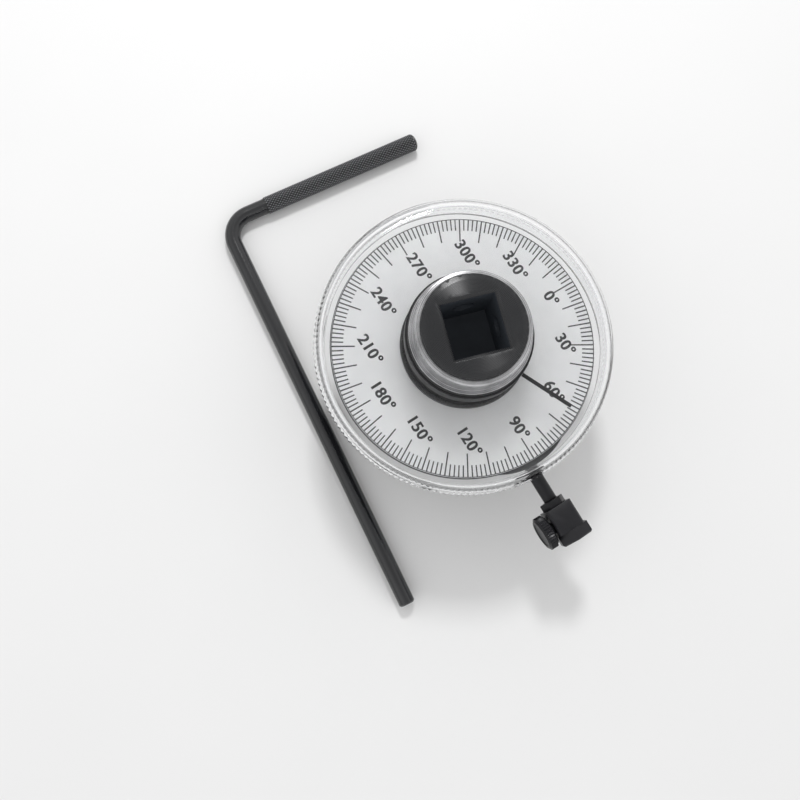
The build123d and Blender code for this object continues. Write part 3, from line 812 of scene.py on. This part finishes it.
@dataclass
class ClearCover:
    """The clear cover with its knurled rim, the black boss in it and the pointer laid into it."""

    segments: int = 320
    wall: float = 1.6 * MM
    plate: float = 1.5 * MM
    radius: float = 35.6 * MM
    shoulder: float = 4.0 * MM
    shoulder_steps: int = 14
    inner_shoulder_steps: int = 10
    bottom: float = field(default_factory=lambda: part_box("clear_cover")[0].z)
    top: float = field(default_factory=lambda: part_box("clear_cover")[1].z)
    boss_top: float = field(default_factory=lambda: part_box("cover_boss")[1].z)
    boss_radius: float = field(default_factory=lambda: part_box("cover_boss")[1].x)
    boss_edge: float = 0.4 * MM
    boss_edge_steps: int = 5
    boss_segments: int = 160
    spigot: float = 14.25 * MM
    seat_gap: float = 0.02 * MM
    bore: float = 13.45 * MM
    edge: float = 0.15 * MM
    knurl_start: float = 1.0 * MM
    knurl_height: float = 4.0 * MM
    knurl_fade: float = 0.4 * MM
    knurl_depth: float = 0.4 * MM

    def build(self) -> None:
        """Make the cover and its boss, and dress the pointer."""
        self.shell()
        self.boss()
        pointer = frame["nodes"]["pointer_line"]
        dress(pointer, POINTER_BLACK)
        LOG.info("%s: %d faces, kept from the CAD", pointer.name, len(pointer.data.polygons))

    def shell(self) -> None:
        """Make the clear cup."""
        top, under = self.top, self.top - self.plate
        inner, hole = self.radius - self.wall, self.spigot + self.seat_gap
        centre = (self.radius - self.shoulder, top - self.shoulder)
        knurl_low = self.bottom + self.knurl_start
        knurl_top = knurl_low + self.knurl_height
        profile = [
            (inner, self.bottom + self.edge),
            (inner + self.edge, self.bottom),
            (self.radius - self.edge, self.bottom),
            (self.radius, self.bottom + self.edge),
            (self.radius, knurl_low),
            (self.radius, knurl_low + self.knurl_fade),
            (self.radius, knurl_top - self.knurl_fade),
            (self.radius, knurl_top),
            *arc(centre, self.shoulder, 0, 90, self.shoulder_steps),
            (hole, top),
            (hole, under),
            *arc(centre, self.shoulder - self.plate, 90, 0, self.inner_shoulder_steps),
            (inner, self.bottom + self.edge),
        ]
        cover = lathe("clear_cover_shell", profile, self.segments)
        band = (knurl_low + self.knurl_fade / 2, knurl_top - self.knurl_fade / 2)
        raise_every_other(
            cover,
            self.segments,
            lambda radius, height: radius > self.radius - MERGE_DISTANCE and band[0] < height < band[1],
            self.knurl_depth / self.radius,
        )
        smooth(cover)
        stand_for(cover, "cover", CLEAR, "clear_cover")

    def boss(self) -> None:
        """Make the black ring that sits in the cover's hole."""
        edge, seat = self.edge, self.top + self.seat_gap
        corner = (self.boss_radius - self.boss_edge, self.boss_top - self.boss_edge)
        profile = [
            (self.bore, self.top - self.plate),
            (self.spigot, self.top - self.plate),
            (self.spigot, seat),
            (self.boss_radius - edge, seat),
            (self.boss_radius, seat + edge),
            *arc(corner, self.boss_edge, 0, 90, self.boss_edge_steps),
            (self.bore + edge, self.boss_top),
            (self.bore, self.boss_top - edge),
            (self.bore, self.top - self.plate),
        ]
        ring = lathe("black_boss", profile, self.boss_segments)
        smooth(ring)
        stand_for(ring, "cover", BOSS_PLASTIC, "cover_boss")


@dataclass
class Hub:
    """The spindle with its hub, the bright collar round it and the detent."""

    segments: int = 192
    inner: float = 12.2 * MM
    wall: float = 1.2 * MM
    bottom: float = field(default_factory=lambda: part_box("bright_collar")[0].z)
    top: float = field(default_factory=lambda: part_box("bright_collar")[1].z)
    lip: float = 0.9 * MM
    lip_thickness: float = 0.9 * MM
    edge: float = 0.12 * MM
    crown: float = 0.5 * MM
    crown_steps: int = 6
    socket_reach: float = 9.3 * MM
    socket_span: tuple[float, float] = (32.0 * MM, 47.6 * MM)
    square_top: float = 15.6 * MM

    def build(self) -> None:
        """Make the collar and dress the spindle's pieces."""
        self.collar()
        self.finish_squares(eased_copy("drive_spindle", self.edge, HUB_STEEL))
        eased_copy("detent_ball", 0.0, BALL_STEEL)
        self.press_spring(eased_copy("detent_spring", 0.0, SPRING_STEEL))

    def press_spring(self, spring: bpy.types.Object) -> None:
        """Give the detent spring's new piece a mesh of its own.

        Args:
            spring: The spring's new piece.
        """
        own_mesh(spring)

    def finish_squares(self, spindle: bpy.types.Object) -> None:
        """Give the socket's walls and the male square their own finishes, because neither is turned. The
        socket's dull dark blue-grey finish is painted shade, standing in for the shade deep in the socket.

        Args:
            spindle: The spindle's new piece.
        """
        low, high = self.socket_span
        # The socket's faces get the painted shade.
        refinish(
            spindle,
            SOCKET_PAINTED_SHADE,
            lambda middle: middle.xy.length < self.socket_reach and low < middle.z < high,
        )
        refinish(spindle, BLACK_STEEL, lambda middle: middle.z < self.square_top)

    def collar(self) -> None:
        """Make the bright sleeve with its lip."""
        outer = self.inner + self.wall
        lip_top = self.bottom + self.lip_thickness
        profile = [
            (self.inner, self.bottom),
            (outer + self.lip - self.edge, self.bottom),
            (outer + self.lip, self.bottom + self.edge),
            (outer + self.lip, lip_top - self.edge),
            (outer + self.lip - self.edge, lip_top),
            (outer + self.edge, lip_top),
            (outer, lip_top + self.edge),
            *arc((outer - self.crown, self.top - self.crown), self.crown, 0, 90, self.crown_steps),
            (self.inner, self.top),
            (self.inner, self.bottom),
        ]
        sleeve = lathe("bright_sleeve", profile, self.segments)
        smooth(sleeve)
        stand_for(sleeve, "spindle", BRIGHT_STEEL, "bright_collar")


@dataclass
class Base:
    """The disc under the dial, the arm collar and what turns on the spindle."""

    edge: float = 0.1 * MM

    def build(self) -> None:
        """Dress the base and its bearing."""
        eased_copy("dial_base", self.edge, BLACK_STEEL)
        eased_copy("arm_collar", 2 * self.edge, HUB_STEEL)
        eased_copy("friction_ring", self.edge, RUBBER)
        eased_copy("cover_washer", self.edge / 2, WASHER_PLASTIC)
        eased_copy("upper_washer", self.edge / 2, WASHER_PLASTIC)
        eased_copy("lower_washer", self.edge / 2, WASHER_PLASTIC)
        eased_copy("base_bush", self.edge, BRONZE)
        eased_copy("retaining_ring", self.edge, SPRING_STEEL)
        eased_copy("collar_screws", self.edge / 2, SCREW_STEEL)


@dataclass
class Arm:
    """The neck, its nut, the clamp block and the thumb screw with its pad."""

    edge: float = 0.15 * MM
    knob_segments: int = 80
    knob_radius: float = 4.05 * MM
    knob_ridge: float = 0.25 * MM
    knob_start: float = 4.0 * MM
    knob_thickness: float = 2.6 * MM
    knob_edge: float = 0.4 * MM
    ridge_run: float = 0.004 * MM
    knob_softening: float = 0.06 * MM
    dish_radius: float = 3.0 * MM
    dish_depth: float = 0.25 * MM
    shank_radius: float = 1.5 * MM
    shank_start: float = 2.33 * MM
    stem_hole: float = 0.63 * MM
    stem_depth: float = 0.8 * MM

    def build(self) -> None:
        """Dress the arm and make the thumb screw."""
        eased_copy("arm_neck", self.edge, BLACK_STEEL)
        eased_copy("neck_nut", self.edge, BLACK_STEEL)
        eased_copy("clamp_block", self.edge, BLACK_STEEL)
        eased_copy("pressure_pad", self.edge / 2, BRASS)
        self.thumb_screw()

    def thumb_screw(self) -> None:
        """Make the screw along Z and turn it so that its knob faces -Y."""
        start, end = self.knob_start, self.knob_start + self.knob_thickness
        radius, edge = self.knob_radius, self.knob_edge
        profile = [
            (self.stem_hole, self.shank_start + self.stem_depth),
            (self.stem_hole, self.shank_start),
            (self.shank_radius, self.shank_start),
            (self.shank_radius, start),
            (radius - edge, start),
            (radius, start + edge),
            (radius, start + edge + self.ridge_run),
            (radius, end - edge - self.ridge_run),
            (radius, end - edge),
            (radius - edge, end),
            (self.dish_radius + self.dish_depth, end),
            (self.dish_radius, end - self.dish_depth),
        ]
        screw = lathe("thumb_screw_knurled", profile, self.knob_segments, solid=True)
        raise_every_other(
            screw,
            self.knob_segments,
            lambda reach, height: reach > radius - MERGE_DISTANCE and start + edge < height < end - edge,
            self.knob_ridge / radius,
        )
        low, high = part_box("thumb_screw")
        place = Vector(((low.x + high.x) / 2, 0, (low.z + high.z) / 2))
        settle(screw, Matrix.Translation(place) @ Matrix.Rotation(RIGHT_ANGLE, 4, "X"))
        soften(screw, self.knob_softening, 1)
        smooth(screw)
        stand_for(screw, "screw", BLACK_STEEL, "thumb_screw")


@dataclass
class StopRod:
    """The L-shaped rod: plain along its long leg, with a diamond knurl on its short one."""

    segments: int = 36
    radius: float = 2.1 * MM
    knurl_radius: float = 2.4 * MM
    knurl_depth: float = 0.26 * MM
    knurl_pitch: float = 0.5 * MM
    knurl_length: float = 45.5 * MM
    long_leg: float = 111.5 * MM
    short_leg: float = 57.0 * MM
    bend: float = 6.5 * MM
    bend_steps: int = 20
    end_edge: float = 0.4 * MM
    corner: tuple[float, float] = (-64.4 * MM, -31.8 * MM)
    turn: float = math.radians(-5.2)

    @property
    def groove_radius(self) -> float:
        """The radius at the bottom of the knurl's grooves."""
        return self.knurl_radius - self.knurl_depth

    @property
    def first_row(self) -> float:
        """Where along the short leg the knurl's first row is, behind its chamfer."""
        return self.short_leg - self.knurl_length + self.end_edge

    @property
    def rows(self) -> int:
        """How many rows the knurl has."""
        return round((self.knurl_length - 2 * self.end_edge) / self.knurl_pitch)

    @property
    def row_step(self) -> float:
        """The distance from one row to the next, in metres."""
        return (self.knurl_length - 2 * self.end_edge) / self.rows

    def build(self) -> None:
        """Model the rod with its corner at the origin and lay it down beside the gauge."""
        rod = self.bent_bar()
        self.cut_knurl(rod)
        corner = (*self.corner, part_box("stop_rod")[0].z + self.knurl_radius)
        lay = Matrix.Translation(corner) @ Matrix.Rotation(self.turn, 4, "Z")
        settle(rod, lay)
        smooth(rod)
        stand_for(rod, "rod", ROD_STEEL, "stop_rod")
        # The knurl gets a painted highlight on its points and painted shade in its grooves.
        knurl = KnurlWithPaintedLight(corner, self.turn, self.groove_radius, self.knurl_radius)
        refinish(rod, knurl, lambda middle: self.in_knurl(lay.inverted() @ middle))

    def bent_bar(self) -> bpy.types.Object:
        """Draw a ring along the long leg, round the bend and along the short leg.

        Returns:
            The bar, with the rings on which its knurl is raised.
        """
        end = Vector((self.long_leg, 0, 0))
        edge = Vector((self.long_leg - self.end_edge, 0, 0))
        deselect()
        bpy.ops.mesh.primitive_circle_add(
            vertices=self.segments, radius=self.radius - self.end_edge, fill_type="NGON",
            location=end, rotation=(0, -RIGHT_ANGLE, 0),
        )
        rod = bpy.context.object
        rod.name = "knurled_stop_rod"
        bpy.ops.object.transform_apply(location=True, rotation=True, scale=True)
        with editing(rod):
            bpy.ops.mesh.select_all(action="SELECT")
            self.reach(edge, end, self.radius / (self.radius - self.end_edge))
            self.reach(Vector((self.bend, 0, 0)), edge, 1)
            bpy.ops.mesh.spin(
                steps=self.bend_steps, angle=RIGHT_ANGLE, center=(self.bend, self.bend, 0), axis=(0, 0, 1),
            )
            bpy.ops.mesh.remove_doubles(threshold=MERGE_DISTANCE)
            place = Vector((0, self.bend, 0))
            for height, share in self.stations():
                spot = Vector((0, height, 0))
                self.reach(spot, place, share)
                place = spot
            bpy.ops.mesh.select_all(action="SELECT")
            bpy.ops.mesh.remove_doubles(threshold=MERGE_DISTANCE)
            bpy.ops.mesh.normals_make_consistent(inside=False)
        return rod

    def reach(self, spot: Vector, start: Vector, share: float) -> None:
        """Extrude the selected ring from start to spot and resize it by a share."""
        bpy.ops.mesh.extrude_region_move(TRANSFORM_OT_translate={"value": spot - start})
        bpy.ops.transform.resize(value=(share, share, share), center_override=spot)

    def stations(self) -> Iterator[tuple[float, float]]:
        """Give the place and the size of each ring along the short leg.

        Yields:
            The ring's distance from the corner, and its size as a share of the ring before.
        """
        yield self.first_row - self.end_edge, 1.0
        yield self.first_row, self.groove_radius / self.radius
        for row in range(1, self.rows + 1):
            yield self.first_row + row * self.row_step, 1.0
        yield self.short_leg, (self.knurl_radius - 2 * self.end_edge) / self.groove_radius

    def in_knurl(self, place: Vector) -> bool:
        """Say of a place, before the rod is laid down, whether it lies in the knurl."""
        start, end = self.first_row - self.end_edge / 2, self.short_leg - self.end_edge / 2
        return place.x < self.bend and start < place.y < end

    def is_peak(self, place: Vector) -> bool:
        """Say of a point, before the rod is laid down, whether the knurl's chequer raises it.

        Args:
            place: The point's place.

        Returns:
            Whether it is raised.
        """
        row = round((place.y - self.first_row) / self.row_step)
        step = round(math.atan2(place.z, place.x) / math.tau * self.segments)
        return place.x < self.bend and 0 < row < self.rows and (row + step) % 2 == 0

    def cut_knurl(self, rod: bpy.types.Object) -> None:
        """Raise every other point in a chequer, so that diamond points stand between the grooves.

        Args:
            rod: The rod, before it is laid down.
        """
        share = self.knurl_radius / self.groove_radius
        with editing(rod):
            select_points(rod, self.is_peak)
            bpy.ops.transform.resize(value=(share, 1, share), center_override=(0, 0, 0))
            select_points(rod, self.in_knurl)
            bpy.ops.mesh.quads_convert_to_tris(quad_method="SHORTEST_DIAGONAL")


@dataclass
class Studio:
    """The floor, the light and the camera."""

    floor_size: float = 8.0
    place: Place = (29.911 * MM, -54.545 * MM, 261.372 * MM)
    target: Place = (3.490 * MM, -19.990 * MM, 28.0 * MM)
    picture_right: Direction = (0.51792, 0.85276, 0.06763)
    lens: float = 45.0
    clip_start: float = 10 * MM
    world_strength: float = 1.0
    horizon: float = 0.45
    bright_band: tuple[float, float] = (0.3, 0.7)
    zenith: float = 0.6
    key_place: Place = (-0.36, 0.17, 0.54)
    key_size: float = 0.105
    key_power: float = 1.9
    fill_place: Place = (0.34, -0.36, 0.45)
    fill_size: float = 0.9
    fill_power: float = 0.3

    def build(self) -> None:
        """Set up the floor, the light and the camera."""
        self.floor()
        self.light()
        self.camera()

    def floor(self) -> None:
        """Lay a plain pale floor under everything."""
        deselect()
        bpy.ops.mesh.primitive_plane_add(size=self.floor_size)
        floor = bpy.context.object
        floor.name = "floor"
        floor.data.materials.append(FLOOR_PAINT.material())

    def light(self) -> None:
        """Light the object evenly from above, a little more from the upper left."""
        world = bpy.context.scene.world or bpy.data.worlds.new("studio")
        bpy.context.scene.world = world
        world.use_nodes = True
        self.sky(world.node_tree)
        self.lamp("key_light", self.key_place, self.key_size, self.key_power)
        self.lamp("fill_light", self.fill_place, self.fill_size, self.fill_power)

    def sky(self, tree: bpy.types.NodeTree) -> None:
        """Make the surroundings bright all round halfway up, and dimmer at the horizon and overhead.

        Args:
            tree: The world's node tree.
        """
        background = tree.nodes["Background"]
        background.inputs["Strength"].default_value = self.world_strength
        direction = tree.nodes.new("ShaderNodeTexCoord").outputs["Generated"]
        split = tree.nodes.new("ShaderNodeSeparateXYZ")
        tree.links.new(direction, split.inputs["Vector"])
        ramp = tree.nodes.new("ShaderNodeValToRGB")
        heights = (0.0, *self.bright_band, 1.0)
        levels = (self.horizon, 1.0, 1.0, self.zenith)
        for height in self.bright_band:
            ramp.color_ramp.elements.new(height)
        for stop, height, level in zip(ramp.color_ramp.elements, heights, levels):
            stop.position = height
            stop.color = (level, level, level, 1)
        tree.links.new(split.outputs["Z"], ramp.inputs["Fac"])
        tree.links.new(ramp.outputs["Color"], background.inputs["Color"])

    def lamp(self, name: str, place: Place, size: float, power: float) -> None:
        """Add a square soft lamp that faces the object.

        Args:
            name: The lamp's name.
            place: Where it hangs.
            size: The length of its side, in metres.
            power: Its power in watts.
        """
        lamp = bpy.data.lights.new(name, "AREA")
        lamp.energy = power
        lamp.size = size
        holder = bpy.data.objects.new(name, lamp)
        bpy.context.scene.collection.objects.link(holder)
        holder.location = place
        away = Vector(place) - Vector(self.target)
        holder.rotation_euler = away.to_track_quat("Z", "Y").to_euler()

    def camera(self) -> None:
        """Stand the camera where the photograph was taken from."""
        camera = bpy.data.cameras.new("photo_camera")
        camera.lens = self.lens
        camera.clip_start = self.clip_start
        holder = bpy.data.objects.new("photo_camera", camera)
        bpy.context.scene.collection.objects.link(holder)
        back = (Vector(self.place) - Vector(self.target)).normalized()
        up = back.cross(Vector(self.picture_right)).normalized()
        right = up.cross(back)
        turn = Matrix((right, up, back)).transposed().to_4x4()
        holder.matrix_world = Matrix.Translation(self.place) @ turn
        bpy.context.scene.camera = holder
        bpy.context.scene.view_settings.view_transform = "Standard"


def main() -> None:
    """Build every sub-assembly in order."""
    logging.basicConfig(level=logging.INFO, format="%(name)s %(message)s")
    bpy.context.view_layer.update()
    for part in (Studio(), Hub(), Dial(), ClearCover(), Base(), Arm(), StopRod()):
        LOG.info("building %s", type(part).__name__)
        part.build()
    deselect()


if __name__ == "__main__":
    main()
